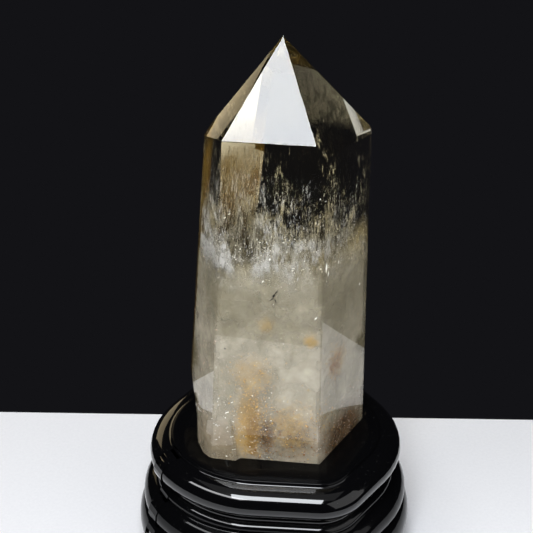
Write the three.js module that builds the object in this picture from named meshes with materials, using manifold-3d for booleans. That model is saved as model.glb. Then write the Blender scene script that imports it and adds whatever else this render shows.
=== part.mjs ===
// A polished quartz point on its carved wooden stand.
// Units are millimetres, +Z is up and the origin is under the middle of the stand's foot.
// The crystal is one solid cut by flat faces. The stand is one solid with a pocket that the crystal drops into.
import * as THREE from "three";
import { mergeVertices } from "three/addons/utils/BufferGeometryUtils.js";
import Module from "manifold-3d";

const wasm = await Module();
wasm.setup();

// Driving dimensions
const STAND_HEIGHT = 52;
const CRYSTAL_RISE = 150; // from the stand's top to the tip
const POCKET_DEPTH = 5; // how far the crystal's foot is sunk in the stand
const POCKET_CLEARANCE = 0.4; // all round the foot
const TIP = { x: -0.3, y: 7.8 }; // where the tip stands over the stand
const BLOCK = 400; // edge of the blocks that cut the flat faces
const ROUGH = 100; // width of the rough block that the crystal is cut from
const SAME_POINT = 1e-4; // points closer than this are one

// The prism faces. Azimuth is the way a face looks, 0 to the front and 90 to the right. Lean is how far it tilts
// up, because the crystal tapers. Reach is its distance from the tip's axis where the stand's top is.
const PRISM_FACES = [
  { azimuth: -5.5, lean: 2.3, reach: 26.35 },
  { azimuth: 56.2, lean: 2.25, reach: 28.9 },
  { azimuth: 94.0, lean: 2.0, reach: 33.5 }, // a narrow one along the right edge
  { azimuth: 116.2, lean: 1.95, reach: 31.1 },
  { azimuth: 183.0, lean: 1.0, reach: 19.4 },
  { azimuth: 228.2, lean: 4.38, reach: 22.89 },
  { azimuth: 294.5, lean: 3.0, reach: 31.4 },
];

// The six faces that meet at the tip, close to quartz's own slope of about 38 degrees from the axis. Clear of tip
// is how far a face stands off the tip's point.
const TIP_FACES = [
  { azimuth: -5.2, lean: 38.6, clearOfTip: 0 },
  { azimuth: 58.5, lean: 37.7, clearOfTip: 0 },
  { azimuth: 120.0, lean: 40.6, clearOfTip: 0.05 },
  { azimuth: 175.5, lean: 38.1, clearOfTip: 0.1 },
  { azimuth: 240.0, lean: 31.7, clearOfTip: 0.05 },
  { azimuth: 282.1, lean: 39.7, clearOfTip: 0 },
];

// Faces of the worn foot. Height is over the stand's top, and a face passes through the point that x, y and
// height give.
const FOOT_FACES = [
  { azimuth: 265, lean: -10, x: -32.0, y: 2.0, height: 23.5 },
  { azimuth: 180, lean: -9, x: 4.0, y: 26.0, height: 24 },
];

// A lump that grew on the foot's left corner, bounded by its own faces as the crystal is.
const LUMP_FACES = [
  { azimuth: 352, lean: 6, x: -19.3, y: -18.3, height: 0 },
  { azimuth: 337, lean: 5, x: -22.9, y: -17.8, height: 0 },
  { azimuth: 314, lean: 5, x: -25.2, y: -16.1, height: 0 },
  { azimuth: 291, lean: 6, x: -27.8, y: -11.3, height: 0 },
  { azimuth: 280, lean: 2, x: -29.2, y: -6.6, height: 0 },
  { azimuth: 264, lean: -1, x: -29.6, y: -4.0, height: 0 },
  { azimuth: 283, lean: 42, x: -29.2, y: -5.0, height: 12.5 },
  { azimuth: 40, lean: 10, x: -13.5, y: -17.9, height: 0 },
  { azimuth: 120, lean: 0, x: -8.0, y: -2.0, height: 0 },
  { azimuth: 205, lean: 0, x: -20.0, y: 4.0, height: 0 },
];

// Shell-shaped chips, each the bite of a ball: the place on the skin, how deep it goes, and the way it opens.
const CHIPS = [
  { x: -10.3, y: -17.6, height: -0.6, azimuth: -4, lean: -10, radius: 12, depth: 0.9 },
  { x: -29.6, y: -2.5, height: 14.2, azimuth: 270, lean: 4, radius: 3.4, depth: 1.0 },
  { x: 31.6, y: 13.5, height: 6, azimuth: 102, lean: -8, radius: 18, depth: 1.2 },
  { x: -14.0, y: 24.6, height: 18, azimuth: 226, lean: 4, radius: 16, depth: 1.0 },
];

// The stand's outline at its lip: a six-sided form that follows the crystal, with well rounded corners. Reach is a
// side's distance from the middle, and corner is the radius between this side and the next.
const STAND_SIDES = [
  { azimuth: -3, reach: 38.5, corner: 20 },
  { azimuth: 51, reach: 44.3, corner: 35 },
  { azimuth: 125, reach: 46.5, corner: 22 },
  { azimuth: 177, reach: 43.0, corner: 22 },
  { azimuth: 234, reach: 44.6, corner: 37 },
  { azimuth: 302, reach: 47.0, corner: 46 },
];
const CORNER_STEPS = 10; // facets round each corner

// The stand's profile from the top down. Out is measured from the lip's outline, and z from the stand's top.
const FIELD = { out: -9.0, round: 0.9, step: 1.3 }; // the raised flat that the crystal stands on
const MOULDINGS = [
  { top: -1.3, bottom: -13.6, outTop: -7.0, crest: 0, outBottom: -8.2, steps: 12 },
  { top: -13.6, bottom: -16.4, outTop: -8.2, crest: -4.6, outBottom: -5.8, steps: 5 },
  { top: -16.4, bottom: -19.8, outTop: -5.8, crest: -2.2, outBottom: -3.6, steps: 5 },
  { top: -19.8, bottom: -31.0, outTop: -3.6, crest: 3.0, outBottom: 1.0, steps: 8 },
  { top: -31.0, bottom: -47.5, outTop: 1.0, crest: 5.4, outBottom: 1.2, steps: 10 },
];
const FOOT = { out: 3.6, top: -48.4, chamfer: 0.8 };

// A three.js geometry as a solid that can be joined and cut.
function solidOf(geometry) {
  const bare = geometry.clone();
  bare.deleteAttribute("normal");
  bare.deleteAttribute("uv");
  const merged = mergeVertices(bare, SAME_POINT);
  return new wasm.Manifold(
    new wasm.Mesh({
      numProp: 3,
      vertProperties: new Float32Array(merged.attributes.position.array),
      triVerts: new Uint32Array(merged.index.array),
    }),
  );
}

// A solid as a three.js geometry again, with flat faces.
function geometryOf(solid) {
  const mesh = solid.getMesh();
  const geometry = new THREE.BufferGeometry();
  geometry.setAttribute("position", new THREE.BufferAttribute(mesh.vertProperties, 3));
  geometry.setIndex(new THREE.BufferAttribute(mesh.triVerts, 1));
  const flat = geometry.toNonIndexed();
  flat.computeVertexNormals();
  return flat;
}

// The way a face looks, as a unit vector.
function facing({ azimuth, lean }) {
  const turn = THREE.MathUtils.degToRad(azimuth);
  const rise = THREE.MathUtils.degToRad(lean);
  return new THREE.Vector3(
    Math.sin(turn) * Math.cos(rise),
    -Math.cos(turn) * Math.cos(rise),
    Math.sin(rise),
  );
}

// Cuts away everything beyond the plane through a point that looks along a normal.
function cleave(solid, normal, point) {
  const block = new THREE.BoxGeometry(BLOCK, BLOCK, BLOCK);
  const turn = new THREE.Quaternion().setFromUnitVectors(new THREE.Vector3(0, 0, 1), normal);
  block.translate(0, 0, BLOCK / 2);
  block.applyQuaternion(turn);
  block.translate(point.x, point.y, point.z);
  return solid.subtract(solidOf(block));
}

// The place on the skin that a foot face or a chip is given by.
function placeOf({ x, y, height }) {
  return new THREE.Vector3(x, y, STAND_HEIGHT + height);
}

// A block that reaches from the crystal's foot to above its tip.
function roughBlock(bottom, height) {
  const block = new THREE.BoxGeometry(ROUGH, ROUGH, height);
  block.translate(TIP.x, TIP.y, bottom + height / 2);
  return solidOf(block);
}

// The crystal with every face moved out by grow: 0 for the crystal, the clearance for the pocket's cutter.
function quartz(grow, withChips) {
  const bottom = STAND_HEIGHT - POCKET_DEPTH;
  const foot = new THREE.Vector3(TIP.x, TIP.y, STAND_HEIGHT);
  const tip = foot.clone().setZ(STAND_HEIGHT + CRYSTAL_RISE);
  const shifted = (point, normal, by) => point.clone().addScaledVector(normal, by);

  let body = roughBlock(bottom, POCKET_DEPTH + CRYSTAL_RISE + 1);
  for (const face of PRISM_FACES) {
    const normal = facing(face);
    body = cleave(body, normal, shifted(foot, normal, face.reach + grow));
  }
  for (const face of TIP_FACES) {
    const normal = facing(face);
    body = cleave(body, normal, shifted(tip, normal, face.clearOfTip + grow));
  }
  for (const face of FOOT_FACES) {
    const normal = facing(face);
    body = cleave(body, normal, shifted(placeOf(face), normal, grow));
  }

  let lump = roughBlock(bottom, POCKET_DEPTH + CRYSTAL_RISE / 3);
  for (const face of LUMP_FACES) {
    const normal = facing(face);
    lump = cleave(lump, normal, shifted(placeOf(face), normal, grow));
  }
  body = body.add(lump);
  return withChips ? chipped(body) : body;
}

// Bites the shell-shaped chips out of the crystal.
function chipped(body) {
  let left = body;
  for (const chip of CHIPS) {
    const ball = new THREE.IcosahedronGeometry(chip.radius, 4);
    const centre = placeOf(chip).addScaledVector(facing(chip), chip.radius - chip.depth);
    ball.translate(centre.x, centre.y, centre.z);
    left = left.subtract(solidOf(ball));
  }
  return left;
}

// The six corners of the stand's outline as circles, each touching the two sides beside it.
function standCorners() {
  return STAND_SIDES.map((side, i) => {
    const next = STAND_SIDES[(i + 1) % STAND_SIDES.length];
    const a = facing({ azimuth: side.azimuth, lean: 0 });
    const b = facing({ azimuth: next.azimuth, lean: 0 });
    const reachA = side.reach - side.corner;
    const reachB = next.reach - side.corner;
    const cross = a.x * b.y - a.y * b.x;
    const turn = (next.azimuth - side.azimuth + 360) % 360;
    return {
      x: (reachA * b.y - reachB * a.y) / cross,
      y: (reachB * a.x - reachA * b.x) / cross,
      radius: side.corner,
      from: side.azimuth,
      turn,
    };
  });
}

// One ring of points round the stand, out from the lip's outline, at a height.
function standRing(corners, out, z) {
  const points = [];
  for (const corner of corners)
    for (let i = 0; i <= CORNER_STEPS; i++) {
      const way = facing({ azimuth: corner.from + (corner.turn * i) / CORNER_STEPS, lean: 0 });
      const reach = corner.radius + out;
      points.push([corner.x + way.x * reach, corner.y + way.y * reach, z]);
    }
  return points;
}

// The stand's profile as out and z, from the edge of its flat top down to its underside.
function standProfile() {
  const profile = [];
  const edgeSteps = 3; // facets of the flat top's rounded edge
  for (let i = 0; i <= edgeSteps; i++) {
    const angle = (Math.PI / 2) * (i / edgeSteps);
    profile.push([FIELD.out + FIELD.round * Math.sin(angle), -FIELD.round * (1 - Math.cos(angle))]);
  }
  profile.push([FIELD.out + FIELD.round, -FIELD.step]);
  profile.push([MOULDINGS[0].outTop, MOULDINGS[0].top]);
  for (const m of MOULDINGS) {
    const middle = (m.top + m.bottom) / 2;
    const half = (m.top - m.bottom) / 2;
    const swell = m.crest - (m.outTop + m.outBottom) / 2;
    for (let i = 1; i <= m.steps; i++) {
      const share = i / m.steps;
      const angle = Math.PI * share;
      const root = m.outTop + (m.outBottom - m.outTop) * share;
      profile.push([root + swell * Math.sin(angle), middle + half * Math.cos(angle)]);
    }
  }
  profile.push([FOOT.out - FOOT.chamfer, FOOT.top]);
  profile.push([FOOT.out, FOOT.top - FOOT.chamfer]);
  profile.push([FOOT.out, -STAND_HEIGHT + FOOT.chamfer]);
  profile.push([FOOT.out - FOOT.chamfer, -STAND_HEIGHT]);
  return profile;
}

// The middle of a ring of points.
function middleOf(ring) {
  const sum = ring.reduce((total, point) => total.map((value, axis) => value + point[axis]), [0, 0, 0]);
  return sum.map((value) => value / ring.length);
}

// Joins rings of equally many points into one closed solid. Each flat end is a fan round its middle.
function loft(rings) {
  const count = rings[0].length;
  const last = (rings.length - 1) * count;
  const topMiddle = last + count;
  const bottomMiddle = topMiddle + 1;
  const positions = [...rings, [middleOf(rings[0]), middleOf(rings[rings.length - 1])]].flat(2);
  const index = [];
  for (let i = 0; i < count; i++) {
    const j = (i + 1) % count;
    for (let start = 0; start < last; start += count) {
      const [a, b, c, d] = [start + i, start + j, start + count + j, start + count + i];
      index.push(a, d, c, a, c, b);
    }
    index.push(topMiddle, i, j);
    index.push(bottomMiddle, last + j, last + i);
  }
  const geometry = new THREE.BufferGeometry();
  geometry.setAttribute("position", new THREE.Float32BufferAttribute(positions, 3));
  geometry.setIndex(index);
  return geometry;
}

// The carved stand with the pocket for the crystal's foot.
function stand() {
  const corners = standCorners();
  const rings = standProfile().map(([out, z]) => standRing(corners, out, STAND_HEIGHT + z));
  return solidOf(loft(rings)).subtract(quartz(POCKET_CLEARANCE, false));
}

// A named mesh in its own material.
function piece(name, solid, look) {
  const mesh = new THREE.Mesh(geometryOf(solid), new THREE.MeshStandardMaterial(look));
  mesh.name = name;
  return mesh;
}

const quartzPoint = piece("quartz_point", quartz(0, true), {
  color: 0xcfc8b4,
  roughness: 0.05,
  metalness: 0,
  transparent: true,
  opacity: 0.6,
});
const woodenStand = piece("wooden_stand", stand(), {
  color: 0x0b0a0b,
  roughness: 0.15,
  metalness: 0,
});

// The stand's foot is centred on the origin, and the crystal goes with it.
const footprint = new THREE.Box3().setFromObject(woodenStand).getCenter(new THREE.Vector3());
const part = new THREE.Group();
part.add(quartzPoint, woodenStand);
part.position.set(-footprint.x, -footprint.y, 0);
export default part;
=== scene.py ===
# %% [markdown]
# # A polished quartz point on its lacquered stand
# The object is a smoky clear quartz crystal with a milky, stained foot. It stands in a shallow pocket
# of a low carved stand that is lacquered black. The packed CAD model gives the true shapes and sizes.
# This lesson dresses them: glass, lacquer, and all that has grown inside the stone.

# %% Load the packed model as a fixed frame
import math

import bmesh
import bpy
import numpy as np
from mathutils import Matrix, Vector, noise


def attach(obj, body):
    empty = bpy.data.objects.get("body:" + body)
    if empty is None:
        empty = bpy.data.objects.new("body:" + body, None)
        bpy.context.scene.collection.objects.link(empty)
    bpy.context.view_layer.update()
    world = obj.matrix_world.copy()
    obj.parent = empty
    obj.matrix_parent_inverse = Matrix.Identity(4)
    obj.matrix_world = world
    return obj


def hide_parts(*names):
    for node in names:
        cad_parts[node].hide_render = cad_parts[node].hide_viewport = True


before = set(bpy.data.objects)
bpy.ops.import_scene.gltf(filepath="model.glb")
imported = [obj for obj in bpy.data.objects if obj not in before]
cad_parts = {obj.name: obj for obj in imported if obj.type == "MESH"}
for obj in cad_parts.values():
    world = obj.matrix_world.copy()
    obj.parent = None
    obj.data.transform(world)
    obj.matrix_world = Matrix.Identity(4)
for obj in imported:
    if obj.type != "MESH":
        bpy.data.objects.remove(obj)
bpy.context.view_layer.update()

MM = 0.001


# %% [markdown]
# ## Colours and small helpers
# A photograph gives colours as 0 to 255 values, but Blender calculates light in linear numbers.
# One function does that conversion, so that each colour below can be given as 0 to 255 values.

# %% Colours as 0 to 255 values
def paint(red, green, blue):
    """A colour of 0 to 255 values as the linear colour that Blender wants, by the sRGB curve."""
    linear = []
    for value in (red, green, blue):
        share = value / 255
        linear.append(share / 12.92 if share <= 0.04045 else ((share + 0.055) / 1.055) ** 2.4)
    return (*linear, 1.0)


print("middle grey becomes", round(paint(128, 128, 128)[0], 3))


# %% [markdown]
# ## The camera
# The stone was photographed from a little above, with a short telephoto view. The camera's place, its
# tilt and its slight roll were worked out from the crystal's edges, so they are written here as plain
# values. A square picture and a 36 mm wide sensor go together with this focal length.

# %% Place the camera
CAMERA_PLACE = (-4.607, -295.616, 302.322)  # mm
CAMERA_TILT = 58.60  # degrees up from looking straight down
CAMERA_ROLL = 0.844  # degrees
FOCAL_LENGTH = 67.57  # mm
SENSOR_WIDTH = 36  # mm
NEAREST_SEEN = 10  # mm


def linked(name, data):
    """A new object in the scene for this data, which is a camera, a lamp or a mesh."""
    made = bpy.data.objects.new(name, data)
    bpy.context.collection.objects.link(made)
    return made


camera = linked("camera", bpy.data.cameras.new("camera"))
tilted = Matrix.Rotation(math.radians(CAMERA_TILT), 4, "X")
rolled = Matrix.Rotation(math.radians(CAMERA_ROLL), 4, "Z")
camera.matrix_world = Matrix.Translation(Vector(CAMERA_PLACE) * MM) @ tilted @ rolled
camera.data.lens = FOCAL_LENGTH
camera.data.sensor_width = SENSOR_WIDTH
camera.data.clip_start = NEAREST_SEEN * MM
bpy.context.scene.camera = camera
print("camera at", [round(value, 3) for value in camera.location])


# %% [markdown]
# ## Shader maths as plain Python
# A procedural finish is a chain of small calculations: a noise, times a mask, plus a height. Each one
# is a node. Wiring them by hand hides the idea, so this class wraps a socket and lets Python's own
# operators add the Math nodes.

# %% A socket that does arithmetic
class Value:
    """What a node puts out. Arithmetic on it adds Math nodes to the same material."""

    def __init__(self, look, socket):
        self.look = look
        self.socket = socket

    def __add__(self, other):
        return self.look.maths("ADD", self, other)

    __radd__ = __add__

    def __sub__(self, other):
        return self.look.maths("SUBTRACT", self, other)

    def __rsub__(self, other):
        return self.look.maths("SUBTRACT", other, self)

    def __mul__(self, other):
        return self.look.maths("MULTIPLY", self, other)

    __rmul__ = __mul__

    def __truediv__(self, other):
        return self.look.maths("DIVIDE", self, other)

    def __rtruediv__(self, other):
        return self.look.maths("DIVIDE", other, self)


print("a socket can be added, subtracted, multiplied and divided")


# %% [markdown]
# ## One way to add any other node
# Every node is added by the same method: first its settings, then the values or links of its sockets.
# Short methods on top of it give the noises and masks that minerals need. All of them read the point
# on the object in millimetres, so a stain has a real place and a real size.

# %% A material that is built by calls
class Look:
    """A material and the calls that add nodes to it."""

    def __init__(self, name):
        self.material = bpy.data.materials.new(name)
        self.material.use_nodes = True
        self.tree = self.material.node_tree
        self.tree.nodes.clear()
        self.place = None

    def node(self, kind, settings=None, inputs=None, out=0):
        """Adds a node, sets it up, feeds its sockets and returns one of its outputs, if it has any."""
        made = self.tree.nodes.new(kind)
        for name, setting in (settings or {}).items():
            setattr(made, name, setting)
        for name, value in (inputs or {}).items():
            if isinstance(value, Value):
                self.tree.links.new(value.socket, made.inputs[name])
            else:
                made.inputs[name].default_value = value
        return Value(self, made.outputs[out]) if len(made.outputs) else None

    def maths(self, operation, first, second):
        return self.node("ShaderNodeMath", {"operation": operation}, {0: first, 1: second})

    def vector_maths(self, operation, first, second):
        return self.node("ShaderNodeVectorMath", {"operation": operation}, {0: first, 1: second})

    def where(self):
        """The point on the object, in millimetres."""
        if self.place is None:
            point = self.node("ShaderNodeTexCoord", out="Object")
            self.place = self.vector_maths("MULTIPLY", point, (1 / MM, 1 / MM, 1 / MM))
        return self.place

    def axis(self, name):
        return self.node("ShaderNodeSeparateXYZ", inputs={0: self.where()}, out=name)

    def ramp(self, value, low, high):
        """0 below low and 1 above high, with a soft step between them. High may be the lower one."""
        numbers = {"Value": value, "From Min": low, "From Max": high}
        return self.node("ShaderNodeMapRange", {"interpolation_type": "SMOOTHSTEP"}, numbers)

    def in_steps(self, size, stretch=(1, 1, 1), shift=(0, 0, 0)):
        """The point on the object, counted in steps of size millimetres times the stretch."""
        scale = tuple(1 / (size * part) for part in stretch)
        moved = self.vector_maths("ADD", self.where(), shift)
        return self.vector_maths("MULTIPLY", moved, scale)

    def noise(self, size, detail=3.0, rough=0.55, twist=0.0, stretch=(1, 1, 1), shift=(0, 0, 0)):
        """Clouds about size millimetres wide, longer along an axis where stretch is over 1."""
        return self.node("ShaderNodeTexNoise", None, {
            "Vector": self.in_steps(size, stretch, shift),
            "Scale": 1.0,
            "Detail": detail,
            "Roughness": rough,
            "Distortion": twist,
        })

    def to_nearest_speck(self, size):
        """The distance to the nearest of many specks, as a share of the millimetres between them."""
        return self.node("ShaderNodeTexVoronoi", None, {"Vector": self.in_steps(size), "Scale": 1.0})

    def blob(self, middle, size, ragged, grain=3.0):
        """1 in the middle of an ellipsoid and 0 outside it, with an edge that noise makes ragged."""
        from_middle = self.vector_maths("SUBTRACT", self.where(), middle)
        scaled = self.vector_maths("DIVIDE", from_middle, size)
        distance = self.node("ShaderNodeVectorMath", {"operation": "LENGTH"}, {0: scaled}, out="Value")
        return self.ramp(distance + (self.noise(grain, 4.0, 0.65) - 0.5) * ragged, 1.0, 0.35)

    def blend(self, factor, first, second):
        """One colour over another. Only this mixes colours, because a Math node would turn them grey."""
        return self.node("ShaderNodeMix", {"data_type": "RGBA"}, {0: factor, 6: first, 7: second}, out=2)

    def bump(self, height, strength, distance):
        """A normal that follows a height of so many millimetres."""
        numbers = {"Height": height, "Strength": strength, "Distance": distance * MM}
        return self.node("ShaderNodeBump", None, numbers)

    def surface(self, numbers):
        """The Principled shader with these sockets, which is left unconnected."""
        return self.node("ShaderNodeBsdfPrincipled", None, numbers)

    def finish(self, shader, volume=None):
        """Connects the shader, and the volume if there is one, to the material's output."""
        ends = {"Surface": shader} if volume is None else {"Surface": shader, "Volume": volume}
        self.node("ShaderNodeOutputMaterial", None, ends)
        return self.material

    def finish_matt(self, colour, cover):
        """The dull finish of what has grown inside the stone: its colour, and how much it covers."""
        return self.finish(self.surface({
            "Base Color": colour,
            "Roughness": 1.0,
            "Specular IOR Level": 0.0,
            "Alpha": cover,
        }))


print("methods of a look:", [name for name in vars(Look) if name[0] != "_"])


# %% [markdown]
# ## The table top
# The stone stands on a pale table in front of darkness, and the table's straight rear edge is the line
# behind the stand. A large plane would do for that alone. But the polished faces mirror the table: the
# pale lower third of the crystal ends where the table's front end does, and the slanting edge on the
# right face is a corner that is cut off. So it is a slab, with its unseen ends where those lines ask
# for them.

# %% Cut the table top from a block
TABLE_SIDES = (-300, 225)  # mm, left and right
TABLE_ENDS = (-187, 66)  # mm, front and rear
TABLE_THICK = 12  # mm
TABLE_CUTS = (
    # a point on the cut in mm, and the way that is cut off
    ((127, 66, 0), (0.255, 0.967, 0)),
    ((110, -187, 0), (0.830, -0.558, 0)),
)


def block(low, high):
    """A box between two corners in millimetres."""
    bm = bmesh.new()
    bmesh.ops.create_cube(bm, size=1)
    low = Vector(low) * MM
    high = Vector(high) * MM
    bmesh.ops.scale(bm, vec=high - low, verts=bm.verts)
    bmesh.ops.translate(bm, vec=(high + low) / 2, verts=bm.verts)
    return bm


def cut_along(bm, point, outwards):
    """Cuts off what lies beyond a plane, and closes the cut."""
    geometry = [*bm.verts, *bm.edges, *bm.faces]
    done = bmesh.ops.bisect_plane(
        bm, geom=geometry, plane_co=Vector(point) * MM, plane_no=outwards, clear_outer=True,
    )
    rim = [part for part in done["geom_cut"] if isinstance(part, bmesh.types.BMEdge)]
    if rim:
        bmesh.ops.edgeloop_fill(bm, edges=rim)


def piece_from(bm, name):
    """A new object in the scene with this mesh."""
    mesh = bpy.data.meshes.new(name)
    bm.to_mesh(mesh)
    bm.free()
    return linked(name, mesh)


bm = block((TABLE_SIDES[0], TABLE_ENDS[0], -TABLE_THICK), (TABLE_SIDES[1], TABLE_ENDS[1], 0))
for point, outwards in TABLE_CUTS:
    cut_along(bm, point, outwards)
table = piece_from(bm, "table_top")
cloth = Look("pale table")
weave = cloth.noise(1.2, 4.0, 0.6)
table_colour = cloth.blend(weave, paint(228, 228, 231), paint(243, 243, 245))
table.data.materials.append(cloth.finish(cloth.surface({
    "Base Color": table_colour,
    "Roughness": 0.9,
    "Specular IOR Level": 0.1,
})))
print("table", [round(value, 3) for value in table.dimensions])


# %% [markdown]
# ## The dark room
# Behind the table is darkness, and the clear part of the crystal shows darkness from every side. A
# backdrop would be dark on one side only, so the world itself is almost black. Light is bent and
# mirrored many times in a crystal with so many layers, so it may turn often before it is given up.

# %% Set the world and the turns of light
LIGHT_TURNS = 32
ROOM = (0.0065, 0.0065, 0.008)

for limit in ("max_bounces", "glossy_bounces", "transmission_bounces", "transparent_max_bounces"):
    setattr(bpy.context.scene.cycles, limit, LIGHT_TURNS)
world = bpy.data.worlds.new("dark room")
world.use_nodes = True
world.node_tree.nodes["Background"].inputs["Color"].default_value = (*ROOM, 1)
world.node_tree.nodes["Background"].inputs["Strength"].default_value = 1.0
bpy.context.scene.world = world
bpy.context.scene.view_settings.view_transform = "Standard"
print("room", ROOM)


# %% [markdown]
# ## Lights
# A polished facet is a mirror: it is white only if something bright stands where it looks. The front
# face of the tip looks up and towards the viewer, so the main soft box hangs just there. A long soft
# box on the left gives the stand's lip its highlight, and a weak fill lights the right side. A golden
# card stands where the tip's left face looks. The rest is left to a faint ceiling.

# %% Soft boxes and a card
def soft_box(name, place, target, size, brightness, tint=(1, 1, 1)):
    """A lamp of width and height in mm, with the radiance that its reflection would show in a mirror."""
    data = bpy.data.lights.new(name, "AREA")
    data.shape = "RECTANGLE"
    data.size = size[0] * MM
    data.size_y = size[1] * MM
    data.color = tint
    data.energy = brightness * math.pi * data.size * data.size_y
    lamp = linked(name, data)
    place = Vector(place) * MM
    lamp.location = place
    lamp.rotation_euler = (Vector(target) * MM - place).to_track_quat("-Z", "Y").to_euler()
    lamp.visible_camera = False
    print(name, "at", [round(value, 2) for value in place], "power", round(data.energy, 2), "W")


FACET_MIDDLE = (-1, -7, 188)  # mm, the middle of the tip's front face
FACET_MIRROR = Vector((-0.092, -0.551, 0.829))  # where that face sends the viewer's line of sight
KEY_DISTANCE = 620  # mm
key_place = Vector(FACET_MIDDLE) + FACET_MIRROR * KEY_DISTANCE
soft_box("main soft box", key_place, FACET_MIDDLE, (330, 300), 16.5, (0.93, 0.96, 1.0))
soft_box("side soft box", (-290, -270, 560), (0, 0, 60), (480, 100), 9, (0.97, 0.98, 1.0))
soft_box("ceiling", (0, -60, 900), (0, 0, 0), (800, 600), 0.3)
soft_box("right fill", (420, -260, 330), (0, 0, 100), (600, 500), 0.9)
soft_box("golden card", (-296, 414, 246), (-14, 4, 188), (260, 240), 1.6, (1.0, 0.82, 0.52))


# %% [markdown]
# ## The crystal's glass
# Quartz is clear and bends light a little more than window glass. Its faint smoke is absorption: the
# longer the way through the stone, the more yellow the light. Lamps reach what is inside the stone
# because shadow rays pass the surface straight on.

# %% Clear smoky quartz
QUARTZ_IOR = 1.544
SMOKE = (0.74, 0.57, 0.0, 1)
SMOKE_DENSITY = 12.0  # per metre


def quartz_glass():
    """Clear glass with a little smoke in its volume."""
    look = Look("smoky quartz")
    glass = look.surface({
        "Base Color": (1, 1, 1, 1),
        "Roughness": 0.0,
        "IOR": QUARTZ_IOR,
        "Transmission Weight": 1.0,
    })
    straight_on = look.node("ShaderNodeBsdfTransparent")
    lamp_ray = look.node("ShaderNodeLightPath", out="Is Shadow Ray")
    both = look.node("ShaderNodeMixShader", inputs={0: lamp_ray, 1: glass, 2: straight_on})
    smoke = look.node("ShaderNodeVolumeAbsorption", inputs={"Color": SMOKE, "Density": SMOKE_DENSITY})
    return look.finish(both, smoke)


quartz = quartz_glass()
print("glass with index", QUARTZ_IOR)


# %% [markdown]
# ## The polished crystal
# The CAD solid is made of loose triangles. A copy of them is welded, each flat face becomes one
# polygon, and the edges get the narrow bevel that polishing leaves. It catches the light as a thin line.

# %% Weld the CAD solid and bevel its edges
WELD = 0.002  # mm, points nearer than this are one point
FLAT = math.radians(1)  # triangles that bend less than this are one face
EDGE = math.radians(9)  # an edge that bends more than this is bevelled
EDGE_BEVEL = 0.22  # mm


def welded(node_name):
    """A bmesh of a CAD node with its double points merged."""
    bm = bmesh.new()
    bm.from_mesh(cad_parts[node_name].data)
    bmesh.ops.remove_doubles(bm, verts=bm.verts, dist=WELD * MM)
    return bm


def with_whole_faces(node_name):
    """The same, with each flat face made one polygon."""
    bm = welded(node_name)
    bmesh.ops.dissolve_limit(bm, angle_limit=FLAT, verts=bm.verts, edges=bm.edges)
    return bm


def dress(piece, material):
    """The calls that every piece of the object needs."""
    piece.data.materials.append(material)
    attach(piece, "root")


bm = with_whole_faces("quartz_point")
sharp = [edge for edge in bm.edges if edge.calc_face_angle(0) > EDGE]
bmesh.ops.bevel(
    bm, geom=sharp, offset=EDGE_BEVEL * MM, affect="EDGES", segments=2, profile=0.5, material=-1,
    clamp_overlap=True,
)
crystal = piece_from(bm, "polished_crystal")
dress(crystal, quartz)
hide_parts("quartz_point")
print("crystal with", len(crystal.data.polygons), "faces")


# %% [markdown]
# ## The lacquer
# The stand is carved wood under many coats of black lacquer. It is nearly black. It mirrors the room
# clearly on its lip, faintly on the mouldings below, and not at all on the level top round the crystal.
# Three materials would leave seams between them, so one does it all, and its clear coat changes with
# the height. A few specks of dust and a little wear keep it from looking like plastic.

# %% Black lacquer
DULL_TOP = (51.9, 51.0)  # mm, no coat above the first and the whole coat below the second
MOULDINGS = (33, 36)  # mm, less coat below the first and the whole coat above the second
COAT_ON_MOULDINGS = 0.35


def black_lacquer():
    """Black paint under a clear coat, with wide ripples, fine pores, wear and dust."""
    look = Look("black lacquer")
    z = look.axis("Z")
    ripple = look.noise(9, 2.0, 0.5)
    pores = look.noise(0.9, 3.0, 0.6, stretch=(6, 1, 1))
    wear = look.ramp(look.noise(5, 5.0, 0.7), 0.62, 0.8)
    dust = look.ramp(look.to_nearest_speck(1.6), 0.07, 0.03)
    black = look.blend(wear, paint(6, 6, 7), paint(16, 15, 15))
    coat = look.ramp(z, *MOULDINGS) * (1 - COAT_ON_MOULDINGS) + COAT_ON_MOULDINGS
    return look.finish(look.surface({
        "Base Color": look.blend(dust * 0.35, black, paint(150, 150, 150)),
        "Roughness": look.noise(7, 3.0, 0.6) * 0.10 + 0.07,
        "IOR": 1.5,
        "Specular IOR Level": 0.05,
        "Coat Weight": look.ramp(z, *DULL_TOP) * coat,
        "Coat Roughness": 0.04,
        "Normal": look.bump(ripple + pores * 0.12, 0.25, 0.15),
    }))


lacquer = black_lacquer()
print("lacquer with", len(lacquer.node_tree.nodes), "nodes")


# %% [markdown]
# ## The lacquered stand
# The CAD solid already has the carved profile, so its copy is shaded smooth along the mouldings and
# kept sharp in the grooves. One triangle of its level top looks downwards and would show as a black
# wedge. So the triangles of that top are taken away, and the hole is filled again up to the pocket's rim.

# %% Fill the level top afresh and shade the stand
STAND_TOP = 52  # mm
TOP_MARGIN = 0.02  # mm
LEVEL = 0.999  # how upright the normal of a level face is
GROOVE = math.radians(38)  # an edge that bends more than this stays sharp

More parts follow.
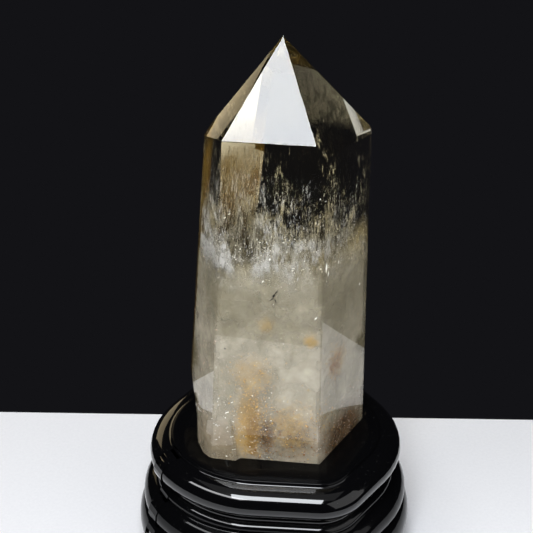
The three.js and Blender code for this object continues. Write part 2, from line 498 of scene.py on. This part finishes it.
bm = welded("wooden_stand")
level_top = []
for face in bm.faces:
    if abs(face.normal.z) > LEVEL and face.calc_center_median().z > (STAND_TOP - TOP_MARGIN) * MM:
        level_top.append(face)
bmesh.ops.delete(bm, geom=level_top, context="FACES")
rim = [edge for edge in bm.edges if edge.is_boundary]
bmesh.ops.triangle_fill(bm, edges=rim, use_beauty=True, normal=(0, 0, 1))
print("open edges on the stand:", sum(edge.is_boundary for edge in bm.edges))
for face in bm.faces:
    face.smooth = abs(face.normal.z) < LEVEL
stand = piece_from(bm, "lacquered_stand")
stand.data.set_sharp_from_angle(angle=GROOVE)
dress(stand, lacquer)
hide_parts("wooden_stand")
print("stand with", len(stand.data.polygons), "faces")


# %% [markdown]
# ## The facets, read back from the frame
# What grows inside the stone follows its faces. They could be typed in again as angles, but then they
# would no longer follow the model. So the large flat faces are found on the CAD solid itself.

# %% Find the crystal's large faces
LEAST_AREA = 230  # square millimetres


def large_faces(node_name):
    """The outward normal of each large flat face, and a point on it in millimetres."""
    bm = with_whole_faces(node_name)
    faces = []
    for face in bm.faces:
        if face.calc_area() / MM**2 > LEAST_AREA:
            faces.append((face.normal.copy(), face.calc_center_median() / MM))
    bm.free()
    return faces


crystal_faces = large_faces("quartz_point")
print("large faces:", [[round(part, 2) for part in normal] for normal, point in crystal_faces])


# %% [markdown]
# ## Shells of milk
# The lower half of the stone is clouded by countless tiny veils. A true volume of fog would be slow and
# noisy, so the cloud is a few closed shells, one inside the other, each cut along the crystal's own
# faces. The outer ones are thin and patchy, the core is solid, and together they have depth.

# %% Cut a shell that keeps its distance to every face
BLANK = 200  # mm, the side of the cube that a shell is cut from
FACING_DOWN = -0.5  # a face whose normal is lower than this is the crystal's underside


def inner_body(name, inset, low, high):
    """A solid inside the crystal, inset millimetres from its faces and between two heights."""
    bm = block((-BLANK / 2, -BLANK / 2, 0), (BLANK / 2, BLANK / 2, BLANK))
    for normal, point in crystal_faces:
        if normal.z > FACING_DOWN:
            cut_along(bm, point - normal * inset, normal)
    cut_along(bm, (0, 0, high), (0, 0, 1))
    cut_along(bm, (0, 0, low), (0, 0, -1))
    bmesh.ops.recalc_face_normals(bm, faces=bm.faces)
    return piece_from(bm, name)


print("a shell is cut along", len(crystal_faces), "faces at most")


# %% [markdown]
# ## The colours of the milk
# The milk is a grey beige, paler in clouds, greyer in upright streaks and towards its top, and stained
# by iron in gold and rust near the foot. A painted picture would break off at the edges of a shell, so
# the colour is worked out at each point: soft ellipsoids with ragged edges, one where each stain is.

# %% Where the stains are
MILK = {
    "pale": paint(206, 199, 183),
    "body": paint(172, 165, 145),
    "grey": paint(122, 116, 94),
    "olive": paint(92, 84, 58),
    "gold": paint(172, 142, 84),
    "umber": paint(136, 116, 90),
    "rust": paint(118, 86, 42),
    "brown": paint(92, 68, 42),
}
STAINS = (
    # colour, strength, middle in mm, half sizes in mm, raggedness
    ("olive", 0.85, (-31, 1, 84), (6, 9, 10), 0.8),
    ("olive", 0.75, (30, 3, 89), (5, 7, 6), 0.7),
    ("gold", 0.5, (-9, -14, 88), (9, 14, 10), 1.9),
    ("umber", 0.6, (-19, -12, 57), (13, 18, 15), 0.8),
    ("umber", 0.6, (8, -14, 60), (16, 16, 15), 1.2),
    ("gold", 0.95, (-10, -14, 66), (7, 16, 22), 0.9),
    ("rust", 0.7, (-8.5, -15, 62), (3.5, 14, 14), 1.3),
    ("brown", 0.85, (-3.5, -16, 62), (4, 14, 11), 0.8),
    ("gold", 0.6, (5, -15, 67), (12, 12, 13), 2.0),
    ("gold", 0.8, (18, -8, 89), (7, 9, 9), 1.3),
    ("rust", 0.95, (18, -9, 90), (4, 9, 5.5), 1.5),
    ("gold", 0.8, (11, -16, 104), (3.5, 8, 3.5), 1.2),
    ("gold", 0.5, (-4.5, -15, 109), (4, 8, 4), 1.2),
    ("brown", 0.9, (25, -7, 54), (17, 20, 16), 0.35),
    ("gold", 0.7, (10, 18, 66), (14, 12, 14), 1.3),
    ("rust", 0.7, (-14, 16, 60), (8, 12, 9), 1.3),
    ("gold", 0.45, (-9, 2, 156), (9, 12, 16), 1.4),
)
print(len(STAINS), "stains in", len(MILK), "colours")


# %% [markdown]
# ## The milk's material
# One function makes the look of every shell, and each shell has its clouds shifted, so that no two
# shells repeat each other. The cover is patchy, thicker in the stains, and it ends upwards in an edge
# that noise makes ragged.

# %% Clouds, streaks and stains
PATCHINESS = 1.2  # how much a thin shell's cover varies
STAIN_COVER = 0.4  # how much a full stain adds to the cover
STAIN_GRAIN = 2.2  # mm, the size of the notches in a stain's edge
GREYER = (98, 112)  # mm, the milk turns greyer between these heights
MILK_EDGE = 16  # mm, how ragged the milk's upper edge is


def milk_colour(look, shift):
    """The colour of the milk at each point, and how stained it is."""
    cloud = look.noise(16, 3.0, 0.5, 0.1, stretch=(1, 1, 1.6), shift=shift)
    streak = look.noise(6, 3.0, 0.55, 0.1, stretch=(1, 1, 3.2), shift=shift)
    grain = look.noise(1.5, 3.0, 0.6, shift=shift)
    colour = look.blend(look.ramp(cloud, 0.35, 0.65) * 0.8, MILK["body"], MILK["pale"])
    colour = look.blend(look.ramp(streak, 0.5, 0.75) * 0.6, colour, MILK["grey"])
    colour = look.blend(look.ramp(look.axis("Z"), *GREYER) * 0.33, colour, MILK["grey"])
    stained = 0.0
    for paint_name, strength, middle, size, ragged in STAINS:
        stain = look.blob(middle, size, ragged, STAIN_GRAIN) * strength
        colour = look.blend(stain, colour, MILK[paint_name])
        stained = stain + stained
    return look.blend(look.ramp(grain, 0.55, 0.75) * 0.5, colour, MILK["pale"]), stained


def milk(name, solid, fade, shift):
    """A shell's look: its share of cover, and the heights between which it fades, if it does."""
    look = Look(name)
    colour, stained = milk_colour(look, shift)
    if fade is None:
        return look.finish_matt(colour, solid)
    ragged_edge = (look.noise(4, 4.0, 0.7, stretch=(1, 1, 2.5), shift=shift) - 0.5) * MILK_EDGE
    thin = look.ramp(look.axis("Z") + ragged_edge, fade[1], fade[0])
    patchy = look.noise(8, 4.0, 0.55, shift=shift) - 0.5
    cover = patchy * PATCHINESS + solid + stained * STAIN_COVER
    return look.finish_matt(colour, thin * cover)


print("milk that turns greyer from", GREYER[0], "to", GREYER[1], "mm")


# %% [markdown]
# ## The shells themselves
# The shells lie at growing distances from the faces, and the deeper ones stand a little higher above
# the crystal's underside. The core is solid, so that no light shines through the lower milk, and it
# ends lower than the others, so that the milk gets thinner upwards.

# %% Make the shells of milk
MILK_FEET = 47.6  # mm, just above the crystal's underside
FEET_RISE = 0.3  # how much higher a shell's foot is for each millimetre of inset
SHIFT_STEP = (31.0, 17.0, 0.0)  # mm, from one shell's clouds to the next one's
SHELLS = (
    # name, inset and top in mm, how solid, heights between which it fades
    ("outer_milk", 0.9, 142, 0.42, (124, 134)),
    ("middle_milk", 3.0, 142, 0.65, (123, 134)),
    ("inner_milk", 5.5, 142, 0.8, (121, 133)),
    ("deep_milk", 9.0, 140, 0.95, (118, 132)),
    ("deepest_milk", 13.0, 140, 0.99, (114, 130)),
    ("milk_core", 8.0, 101.5, 1.0, None),
)
for order, (name, inset, top, solid, fade) in enumerate(SHELLS):
    shell = inner_body(name, inset, MILK_FEET + inset * FEET_RISE, top)
    shift = tuple(order * step for step in SHIFT_STEP)
    dress(shell, milk(name, solid, fade, shift))
    print(name, len(shell.data.polygons), "faces")


# %% [markdown]
# ## Upright veils
# Higher up, the cloud is drawn out into faint upright brush marks. They are shells again, one inside the
# other, so that every side of the stone looks through several of them. A noise that is stretched upwards
# leaves thin streaks on each shell, and fewer of them the higher they are. Three shells end lower and
# are tufted: their streaks are half clouds, which makes the white tufts that stand on the milk.

# %% Streaked shells
VEIL_FEET = 130  # mm, above this height the veils lose cover
VEIL_FADE = (118, 136)  # mm, where the veils sink into the milk
VEIL_EDGE = 16  # mm, how ragged that edge is
VEIL_SLOPE = 0.4  # how much lower the top is for each millimetre to the right
VEIL_SPARE = 12  # mm, how far a shell goes on above its veil's top on the axis
LEAST_STREAK = 0.475  # noise below this is clear stone
LEAST_TUFT = 0.46
VEIL_SOFTNESS = 0.1  # how much more noise makes a full streak
VEILED = (
    # inset and top on the axis in mm, cover lost on the way up, strongest cover, tufted or not
    (2.2, 168, 0.14, 0.5, False),
    (5.0, 167, 0.14, 0.5, False),
    (8.0, 165, 0.15, 0.5, False),
    (11.0, 162, 0.15, 0.45, False),
    (14.5, 160, 0.15, 0.45, False),
    (1.4, 146, 0.18, 0.75, True),
    (3.4, 147, 0.18, 0.75, True),
    (6.4, 147, 0.18, 0.7, True),
)


def streaks(order, top, loss, strongest, tufted):
    """The look of one streaked shell. Gaps are shared by all shells, lines are each shell's own."""
    look = Look(f"upright veil {order + 1}")
    shift = (order * 23.0, order * 41.0, order * 7.0)
    height = look.axis("Z")
    on_axis = height + look.axis("X") * VEIL_SLOPE
    rise = look.maths("MAXIMUM", (on_axis - VEIL_FEET) / (top - VEIL_FEET), 0.0)
    gaps = look.noise(5, 3.0, 0.6, stretch=(1, 3, 1.5))
    fine = look.noise(0.7, 3.0, 0.6, stretch=(1, 1, 6), shift=shift)
    if tufted:
        fine = (fine + look.noise(2.6, 5.0, 0.65, 0.3, stretch=(1, 1, 1.6), shift=shift)) * 0.5
    bead = look.noise(0.4, 2.0, 0.6, shift=shift) - 0.5
    golden_gap = look.blob((-12, -15, 141), (8, 15, 17), 0.6)
    cover = fine * 0.55 + gaps * 0.45 + bead * 0.15 - rise * loss - golden_gap * 0.13
    least = LEAST_TUFT if tufted else LEAST_STREAK
    seen = look.ramp(cover, least, least + VEIL_SOFTNESS) * look.ramp(rise, 1.05, 0.85)
    sunk = height + (look.noise(7, 4.0, 0.65) - 0.5) * VEIL_EDGE
    return look.finish_matt(paint(188, 187, 184), seen * look.ramp(sunk, *VEIL_FADE) * strongest)


for order, (inset, top, loss, strongest, tufted) in enumerate(VEILED):
    shell = inner_body(f"upright_veil_{order + 1}", inset, VEIL_FADE[0], top + VEIL_SPARE)
    dress(shell, streaks(order, top, loss, strongest, tufted))
print(len(VEILED), "upright veils")


# %% [markdown]
# ## A painted reflection on a rear face
# The front of the stone shows one rear face as an upright stripe, by total reflection. In the stone that
# stripe mirrors the milky, stained foot through the smoky quartz, and its golden, cloudy colour is
# painted here on a film. Colour in the crystal's own material would show on every face, so the film is a
# piece of
# its own: a copy of that CAD face, moved inwards.

# %% Copy one face of the crystal and lay a painted reflection on it
FILM_FACING = Vector((-0.75, 0.66, 0.08))  # the rear left face
FILM_DEPTH = 0.5  # mm
FILM_SIZE = 0.93  # of the face's own size, which keeps the film clear of the edges
FILM_TOP = (170, 160)  # mm, no film above the first height and the whole film below the second


def painted_reflection_look():
    """The painted reflection: a cloudy golden cover with browner spots."""
    look = Look("painted golden reflection")
    cloud = look.noise(11, 4.0, 0.6, 0.3)
    grain = look.noise(1.2, 3.0, 0.6)
    spot = look.ramp(look.noise(16, 2.0, 0.5, shift=(5, 9, 3)), 0.5, 0.66)
    colour = look.blend(spot * 0.7, paint(126, 103, 48), paint(96, 64, 24))
    cover = look.ramp(cloud + (grain - 0.5) * 0.2, 0.3, 0.7) * 0.35 + 0.3 + spot * 0.25
    return look.finish_matt(colour, cover * look.ramp(look.axis("Z"), *FILM_TOP))


bm = with_whole_faces("quartz_point")
kept = max(bm.faces, key=lambda face: face.normal.dot(FILM_FACING))
others = [face for face in bm.faces if face is not kept]
bmesh.ops.delete(bm, geom=others, context="FACES")
inwards = kept.normal * -FILM_DEPTH * MM
middle = kept.calc_center_median()
shrink = Matrix.Translation(middle + inwards) @ Matrix.Scale(FILM_SIZE, 4) @ Matrix.Translation(-middle)
bmesh.ops.transform(bm, matrix=shrink, verts=bm.verts)
bmesh.ops.triangulate(bm, faces=bm.faces)
# This film paints the golden reflection that the rear face shows, just inside that face.
film = piece_from(bm, "painted_reflection_film")
dress(film, painted_reflection_look())
print("film of", [round(value / MM, 1) for value in film.dimensions], "mm")


# %% [markdown]
# ## One splinter, repeated
# Threads of bubbles, grains of iron and dark flakes are all small, and there are thousands of them. An
# object for each would be slow to handle. So one eight-sided splinter is repeated by an array of
# places, sizes and leans, and all splinters of a kind are joined in one mesh.

# %% Join splinters inside the stone
def splinter():
    """Corners and triangles of one eight-sided splinter, 1 long and 1 thick."""
    bm = bmesh.new()
    bmesh.ops.create_uvsphere(bm, u_segments=4, v_segments=2, radius=0.5)
    bmesh.ops.triangulate(bm, faces=bm.faces)
    bm.verts.index_update()
    corners = np.array([vert.co[:] for vert in bm.verts])
    triangles = np.array([[vert.index for vert in face.verts] for face in bm.faces])
    bm.free()
    return corners, triangles


def is_inside(points, inset):
    """Which points lie in the crystal, at least inset millimetres from its faces."""
    inside = np.ones(len(points), bool)
    for normal, point in crystal_faces:
        inside &= (points - np.array(point)) @ np.array(normal) < -inset
    return inside


def joined_splinters(name, places, sizes, leans):
    """One mesh of splinters: a place, a width, depth and length in mm, and a lean in radians for each."""
    corners, triangles = splinter()
    shapes = corners[None] * sizes[:, None]
    shapes[:, :, 0] += shapes[:, :, 2] * np.tan(leans[:, None, 0])
    shapes[:, :, 1] += shapes[:, :, 2] * np.tan(leans[:, None, 1])
    shapes += places[:, None]
    steps = np.arange(len(places))[:, None, None] * len(corners)
    all_corners = (shapes.reshape(-1, 3) * MM).tolist()
    all_triangles = (triangles[None] + steps).reshape(-1, 3).tolist()
    mesh = bpy.data.meshes.new(name)
    mesh.from_pydata(all_corners, [], all_triangles)
    return linked(name, mesh)


print("one splinter has", len(splinter()[1]), "triangles")


# %% [markdown]
# ## Upright wisps
# In the clear zone the veils break up into upright threads of tiny bubbles. They stand in tufts, so
# each tuft gets a middle and its threads scatter round it. The tufts leave gaps between them, as the
# veils do, and they end lower on the right.

# %% Scatter threads in tufts
STONE_SIDES = (-32, 32)  # mm, left and right
STONE_ENDS = (-22, 35)  # mm, front and rear
WISP_TOP = 155  # mm, how high the wisps reach on the axis
TOP_RAGGED = 6  # mm, how much lower than that a tuft may end
TUFT_DEPTH = 1.5  # mm, from the faces to a tuft's middle
THREAD_DEPTH = 0.8  # mm, from the faces to a thread's middle
GAP_SIZE = 9  # mm
GAP_BELOW = -0.12  # where the noise is lower than this, there are no tufts


def wisp_look():
    """Pale bubbles, in rows that noise breaks up."""
    look = Look("wisps")
    return look.finish_matt(paint(222, 228, 246), look.ramp(look.noise(0.45, 2.0, 0.5), 0.35, 0.6))


def tufts(seed, count, threads, low, high, spread, length, width):
    """Places, sizes and leans of threads that stand in tufts between two heights."""
    random = np.random.default_rng(seed)
    middles = np.column_stack([
        random.uniform(*STONE_SIDES, count),
        random.uniform(*STONE_ENDS, count),
        random.uniform(low, high, count),
    ])
    middles = middles[is_inside(middles, TUFT_DEPTH)]
    ceiling = WISP_TOP - VEIL_SLOPE * middles[:, 0]
    middles = middles[middles[:, 2] < ceiling - random.uniform(0, TOP_RAGGED, len(middles))]
    gaps = np.array([noise.noise(Vector(middle) / GAP_SIZE) for middle in middles])
    middles = middles[gaps > GAP_BELOW]
    places = np.repeat(middles, threads, axis=0)
    places += random.normal(0, 1, places.shape) * np.array(spread)
    places = places[is_inside(places, THREAD_DEPTH)]
    total = len(places)
    long = random.lognormal(math.log(length), 0.5, total)
    wide = random.lognormal(math.log(width), 0.4, total)
    leans = random.normal(0.05, 0.07, (total, 2))
    return places, np.column_stack([wide, wide, long]), leans


TUFTS = (
    # name, seed, tufts, threads in each, lowest, highest, spread, length and width of a thread in mm
    ("high_wisps", 11, 320, 6, 134, 165, (0.6, 0.6, 2.6), 0.9, 0.07),
    ("dense_wisps", 12, 360, 12, 124, 146, (0.8, 0.8, 1.3), 0.6, 0.10),
)
wisps = wisp_look()
for name, *numbers in TUFTS:
    places, sizes, leans = tufts(*numbers)
    dress(joined_splinters(name, places, sizes, leans), wisps)
    print(name, len(places), "threads")


# %% [markdown]
# ## Grains of iron and painted glints
# The stains are not smooth: they are made of grains of iron oxide that settled on old faces. Clouds of
# tiny splinters just under the polished faces give that grain, in the same places as the soft stains.
# The white flecks are painted glints: white splinters where tiny cracks would flash in the light.

# %% Grains under the faces
def bit_look(name, colour, roughness=0.8):
    """The plain finish of a grain."""
    look = Look(name)
    return look.finish(look.surface({
        "Base Color": colour,
        "Roughness": roughness,
        "Specular IOR Level": 0.3,
    }))


BITS = {
    "gold": bit_look("golden grains", paint(190, 154, 88)),
    "rust": bit_look("rusty grains", paint(128, 84, 36)),
    "brown": bit_look("brown grains", paint(70, 52, 36)),
    # painted glints: white paint in place of the light that tiny cracks flash
    "white": bit_look("painted glints", paint(244, 243, 238)),
    "pink": bit_look("pinkish grains", paint(206, 180, 166)),
    "black": bit_look("black mineral", paint(14, 16, 14), 0.35),
}
CLOUDS = (
    # name, bit, seed, count, then in mm: middle, spread, width, depth under the faces
    ("gold_by_the_phantom", "gold", 31, 260, (-9, -17, 87), (4.5, 3, 5), 0.36, (0.4, 3)),
    ("gold_in_the_foot", "gold", 32, 900, (-8, -17, 68), (3.5, 4, 9), 0.42, (0.4, 3)),
    ("rust_in_the_foot", "rust", 33, 420, (-4, -18, 61), (2.5, 4, 5), 0.42, (0.4, 3)),
    ("gold_across_the_foot", "gold", 34, 800, (6, -18, 65), (8, 4, 7), 0.38, (0.4, 3)),
    ("rust_across_the_foot", "rust", 44, 500, (8, -18, 62), (7, 4, 6), 0.38, (0.4, 3)),
    ("rust_on_the_right", "rust", 35, 240, (19.5, -11, 89), (1.6, 2, 3.2), 0.42, (0.4, 2)),
    ("gold_on_the_right", "gold", 36, 260, (18.5, -11, 90), (2.5, 3, 4.5), 0.40, (0.4, 2)),
    ("brown_lower_right", "brown", 37, 1500, (24, -8, 56), (9, 9, 5), 0.42, (0.4, 2)),
    ("rust_lower_right", "rust", 38, 1300, (22, -9, 57), (9, 9, 6), 0.42, (0.4, 2)),
    ("pink_lower_right", "pink", 39, 700, (24, -8, 57), (9, 9, 6), 0.38, (0.4, 2)),
    # painted glints: white flecks in place of light that flashes off tiny cracks
    ("flecks_in_the_milk", "white", 40, 500, (0, -15, 86), (18, 5, 18), 0.22, (0.4, 4)),
    ("flecks_in_the_foot", "white", 45, 420, (-12, -17, 66), (9, 5, 9), 0.36, (0.4, 2)),
    ("flecks_in_the_tufts", "white", 41, 260, (4, -12, 134), (16, 6, 5), 0.26, (0.4, 5)),
    ("pink_on_the_left", "pink", 42, 500, (-26, -7, 80), (4, 5, 22), 0.36, (0.4, 2)),
    ("rust_behind", "rust", 43, 500, (-6, 20, 66), (12, 6, 10), 0.42, (0.4, 4)),
)
LOWEST_GRAIN = 49  # mm, a little above the crystal's underside
DRAWN_PER_GRAIN = 4  # places drawn for each grain, because many of them lie too deep or outside


def grains(seed, count, middle, spread, width, depth):
    """Places, sizes and leans of a cloud of grains that lies near the faces."""
    random = np.random.default_rng(seed)
    drawn = random.normal(0, 1, (count * DRAWN_PER_GRAIN, 3))
    places = np.array(middle) + drawn * np.array(spread)
    near = is_inside(places, depth[0]) & ~is_inside(places, depth[1])
    places = places[near & (places[:, 2] > LOWEST_GRAIN)][:count]
    sizes = random.lognormal(math.log(width), 0.45, (len(places), 3))
    leans = random.uniform(-0.6, 0.6, (len(places), 2))
    return places, sizes, leans


for name, bit, *numbers in CLOUDS:
    places, sizes, leans = grains(*numbers)
    dress(joined_splinters(name, places, sizes, leans), BITS[bit])
    print(name, len(places), "grains")


# %% [markdown]
# ## Single marks
# A few marks are so plain that anyone who knows the stone would miss them: the dark mineral flake in
# the middle, chains of black specks on the left, and short cracks and flecks that flash, which are
# painted glints in white. Chance would never put them in their places, so they are listed one by one.
# Each is then brought to the same small depth under its nearest face, because the milk would hide a mark
# that lies deeper.

# %% Flakes, and cracks and flashes painted as glints
MARKS = {
    "black": (
        # middle in mm, width, depth, length, lean in x
        ((-1.2, -16.9, 122.6), 0.5, 0.3, 2.6, 0.55),
        ((-2.0, -16.9, 121.2), 0.9, 0.3, 1.6, 0.25),
        ((-2.6, -16.9, 119.8), 0.6, 0.3, 1.8, 0.9),
        ((-1.4, -17.0, 119.2), 0.4, 0.3, 1.9, -0.35),
        ((-2.5, -17.0, 117.9), 0.3, 0.2, 1.0, 0.2),
        ((-18.4, -16.2, 98.9), 0.75, 0.4, 0.75, 0.0),
        ((-12.2, -16.9, 96.1), 0.3, 0.2, 1.3, 1.1),
        ((-11.2, -17.0, 95.0), 0.3, 0.2, 1.1, 0.9),
        ((-10.2, -16.2, 116.4), 0.25, 0.2, 0.9, 0.5),
        ((17.5, -13.1, 115.6), 0.3, 0.2, 1.0, -0.3),
        ((-23.4, -9.7, 112.5), 0.35, 0.25, 0.7, 0.3),
        ((-21.9, -11.4, 111.9), 0.3, 0.25, 0.9, 0.6),
        ((-20.4, -13.2, 111.2), 0.4, 0.25, 0.5, 0.0),
        ((-19.2, -14.6, 110.6), 0.3, 0.25, 0.9, -0.5),
        ((-18.3, -15.7, 110.2), 0.35, 0.25, 0.6, 0.2),
    ),
    # painted glints: white splinters in place of the light that cracks and flecks flash
    "white": (
        ((12.2, -18.5, 113.5), 0.7, 0.3, 1.4, 0.5),
        ((-3.5, -16.2, 134.8), 0.6, 0.3, 1.2, 0.2),
        ((-5.7, -16.3, 126.4), 0.5, 0.3, 1.0, 0.4),
        ((27.4, 1.6, 114.5), 0.9, 0.4, 1.4, 0.3),
        ((14.3, -16.8, 132.1), 1.1, 0.4, 4.4, 0.05),
        ((15.0, -15.8, 129.4), 0.7, 0.4, 2.6, 0.2),
        ((18.6, -10.4, 130.6), 0.5, 0.3, 1.9, 0.1),
        ((-16.1, -17.3, 76.2), 0.6, 0.3, 0.8, 0.8),
        ((-17.9, -17.3, 71.6), 1.0, 0.4, 1.1, 0.9),
        ((-3.9, -18.9, 65.3), 0.5, 0.3, 0.7, 0.0),
        ((-21.9, -17.2, 65.8), 0.5, 0.3, 0.6, 0.0),
        ((12.0, -16.6, 157.4), 0.35, 0.3, 0.7, 0.2),
        ((12.9, -16.6, 156.6), 0.3, 0.3, 0.5, 0.2),
        ((-1.6, -15.0, 158.6), 0.25, 0.3, 0.5, 0.0),
        ((-18.2, -15.2, 149.0), 0.5, 0.3, 0.6, 0.9),
        ((-16.8, -15.2, 150.4), 0.45, 0.3, 0.7, 0.9),
        ((-13.2, -15.6, 138.0), 0.5, 0.3, 0.6, 0.4),
        ((-13.6, -15.6, 137.0), 0.3, 0.3, 0.5, -0.4),
    ),
}
MARK_DEPTH = 0.5  # mm


def under_its_face(place, depth):
    """The point moved straight in or out until it lies that deep under its nearest face."""
    place = Vector(place)
    normal, point = min(crystal_faces, key=lambda face: (face[1] - place).dot(face[0]))
    return place + normal * ((point - place).dot(normal) - depth)


for bit, rows in MARKS.items():
    places = np.array([under_its_face(row[0], MARK_DEPTH) for row in rows])
    sizes = np.array([row[1:4] for row in rows])
    leans = np.array([(row[4], 0.0) for row in rows])
    dress(joined_splinters(f"{bit}_marks", places, sizes, leans), BITS[bit])
    print(len(rows), bit, "marks")


# %% [markdown]
# ## Sizes
# The dressed object keeps the sizes of the CAD model: the crystal and the stand are copies of its solids.
